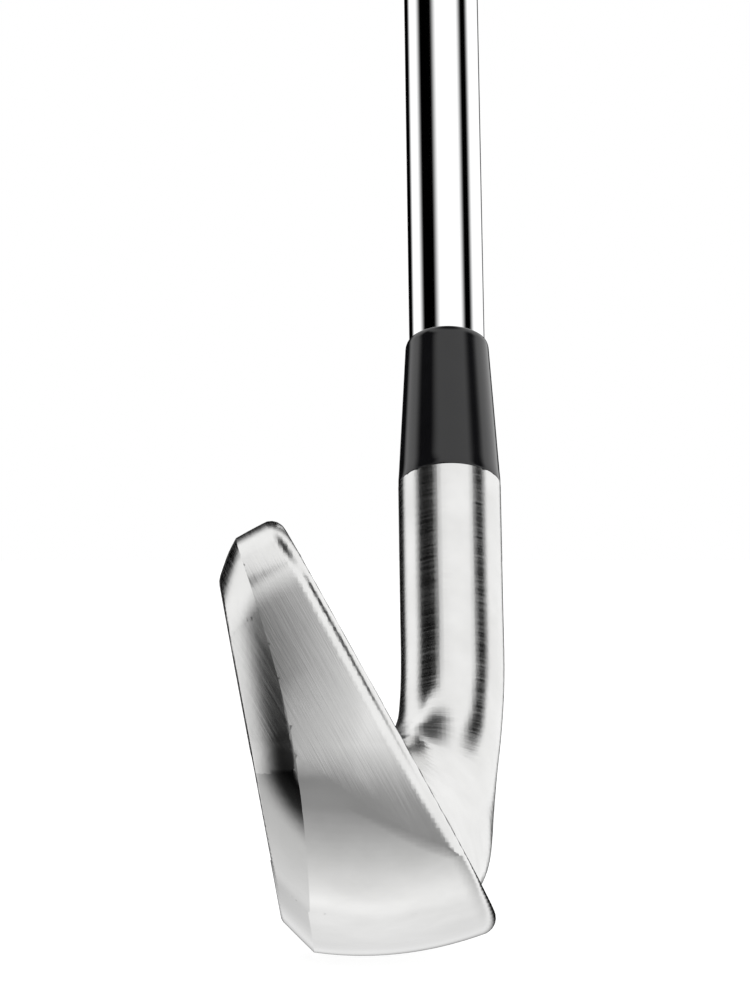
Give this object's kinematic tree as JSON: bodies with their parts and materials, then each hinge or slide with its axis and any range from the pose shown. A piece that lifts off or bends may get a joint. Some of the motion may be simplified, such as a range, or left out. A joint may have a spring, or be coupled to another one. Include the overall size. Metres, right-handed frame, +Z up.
{
  "type": "iron golf club",
  "caption": "Right-handed iron golf club: hollow brushed and polished steel head, black ferrule, stepped chromed shaft and tapered rubber grip.",
  "frame": {"origin": "the sole's contact point with the ground, below the middle of the face, with the club at address", "axes": "+X towards the target, +Y from the toe to the heel, +Z up; the shaft climbs towards +Y and +Z"},
  "size_m": [0.0427, 0.5212, 0.8379],
  "materials": {
    "body_steel": "satin brushed above, polished at the sole and toe, chrome plated",
    "face_steel": "fine milled, with cut score lines",
    "tungsten": "sintered tungsten alloy, bare",
    "elastomer": "soft moulded elastomer",
    "badge": "bead-blasted dark trim",
    "adhesive_film": "acrylic foam film",
    "epoxy": "cured epoxy",
    "ferrule_black": "polished black",
    "shaft_chrome": "mirror chrome plate over steel",
    "tip_brass": "turned brass",
    "cork": "natural cork",
    "band_film": "plain printed film, no lettering",
    "foam": "closed-cell foam",
    "tape_film": "crepe-paper tape",
    "grip_rubber": "moulded rubber, cord-like texture",
    "cap_rubber": "moulded rubber, smooth"
  },
  "bodies": {
    "root": {"head_body": "body_steel", "face_plate": "face_steel", "toe_weight": "tungsten", "heel_weight": "tungsten", "core_damper": "elastomer", "back_plate": "badge", "back_plate_adhesive": "adhesive_film", "hosel_epoxy": "epoxy", "ferrule": "ferrule_black", "shaft": "shaft_chrome", "tip_weight": "tip_brass", "tip_stopper": "cork", "shaft_band": "band_film", "butt_plug": "foam", "grip_tape": "tape_film", "grip": "grip_rubber", "grip_cap": "cap_rubber"}
  },
  "joints": []
}
